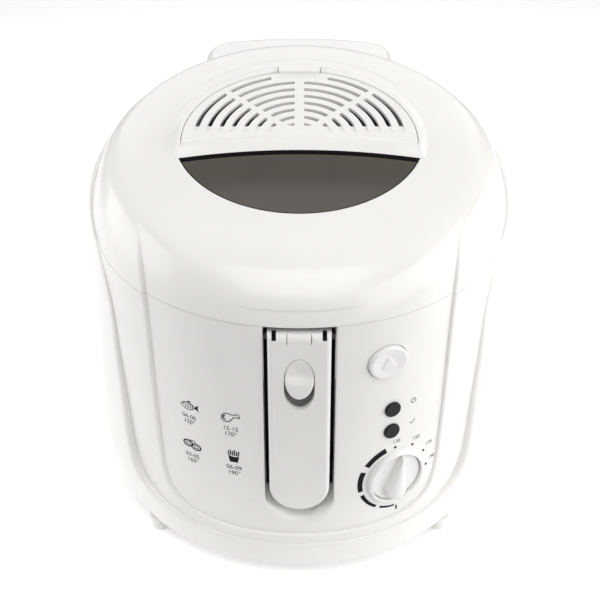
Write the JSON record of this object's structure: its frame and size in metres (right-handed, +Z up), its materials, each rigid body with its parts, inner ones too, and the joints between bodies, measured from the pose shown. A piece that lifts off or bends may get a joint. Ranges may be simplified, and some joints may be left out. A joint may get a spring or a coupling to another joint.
{
  "type": "deep fryer",
  "caption": "Round cool-wall domestic deep fryer with hinged domed lid, viewing window, filter grille, folding basket handle and dial thermostat.",
  "frame": {"origin": "middle of the footprint at the level the feet stand on", "axes": "+Z up, -Y is the front with the handle and dial, +X is the side of the dial"},
  "size_m": [0.2764, 0.2862, 0.2718],
  "materials": {
    "white_shell": "satin moulded polypropylene",
    "white_gloss": "gloss moulded polypropylene",
    "grey_base": "moulded, fine texture",
    "screw_steel": "zinc plated",
    "rubber": "matt",
    "nonstick": "dark non-stick coating",
    "steel": "plain",
    "black_plastic": "moulded",
    "copper": "drawn tube",
    "lens_dark": "dark clear lens, unlit",
    "aluminium": "pressed sheet",
    "silicone": "soft, translucent white",
    "smoked": "smoked transparent",
    "clear": "clear",
    "filter_white": "felt",
    "filter_black": "charcoal foam",
    "wire": "plated wire"
  },
  "bodies": {
    "base": {"outer_housing": "white_shell", "base_plate": "grey_base", "base_screws": "screw_steel", "feet": "white_shell", "foot_pads": "rubber", "oil_pan": "nonstick", "top_deck": "grey_base", "heating_element": "steel", "heat_shield": "steel", "thermal_cutout": "black_plastic", "terminal_block": "black_plastic", "thermostat": "steel", "thermostat_bulb": "copper", "dial_bezel": "white_gloss", "power_lamp_lens": "lens_dark", "ready_lamp_lens": "lens_dark", "lamp_holders": "black_plastic", "release_spring": "steel", "release_bracket": "grey_base", "hinge_bracket": "grey_base", "hinge_pin": "steel", "lid_spring": "steel", "cord_gland": "rubber", "handle_pin": "steel", "lift_rails": "grey_base"},
    "knob": {"thermostat_knob": "white_gloss", "knob_shaft": "steel"},
    "release": {"lid_release_button": "white_gloss", "latch_bar": "grey_base"},
    "lid": {"lid_shell": "white_gloss", "lid_liner": "aluminium", "lid_gasket": "silicone", "lid_screws": "screw_steel", "viewing_window": "smoked", "inner_window": "clear", "filter_tray": "grey_base", "grease_filter": "filter_white", "charcoal_filter": "filter_black", "lid_catch": "grey_base"},
    "filter_cover": {"filter_cover": "white_gloss"},
    "handle": {"handle_grip": "white_gloss", "handle_back": "white_gloss", "handle_spring": "steel"},
    "handle_button": {"handle_button": "white_gloss"},
    "basket": {"basket": "wire", "basket_rim": "wire", "basket_hanger": "steel", "lift_carriage": "steel"}
  },
  "joints": [
    {"name": "lid_hinge", "type": "hinge", "parent": "base", "child": "lid", "pos_m": [0, 0.1286, 0.242], "axis": [-1, 0, 0], "range_deg": [0, 75], "deforming": ["lid_spring"]},
    {"name": "filter_cover_hinge", "type": "hinge", "parent": "lid", "child": "filter_cover", "pos_m": [0, -0.01523, 0.25479], "axis": [1, 0, 0], "range_deg": [0, 45]},
    {"name": "thermostat_knob_turn", "type": "hinge", "parent": "base", "child": "knob", "pos_m": [0.06053, -0.12352, 0.0762], "axis": [0.461, -0.8874, 0], "range_deg": [-82, 194]},
    {"name": "lid_release_press", "type": "slide", "parent": "base", "child": "release", "axis": [-0.3971, 0.9178, 0], "range_m": [0, 0.004], "stiffness_N_per_m": 900, "springref_m": -0.002, "deforming": ["release_spring"]},
    {"name": "basket_handle_fold", "type": "hinge", "parent": "base", "child": "handle", "pos_m": [0, -0.131, 0.19], "axis": [-1, 0, 0], "range_deg": [0, 88]},
    {"name": "handle_button_slide", "type": "slide", "parent": "handle", "child": "handle_button", "axis": [0, 0, -1], "range_m": [0, 0.006], "stiffness_N_per_m": 350, "springref_m": -0.002, "deforming": ["handle_spring"]},
    {"name": "basket_lift", "type": "slide", "parent": "base", "child": "basket", "axis": [0, 0, 1], "range_m": [0, 0.055]}
  ],
  "couplings": [
    {"joint": "basket_lift", "follows": "basket_handle_fold", "m_per_rad": 0.0358}
  ]
}
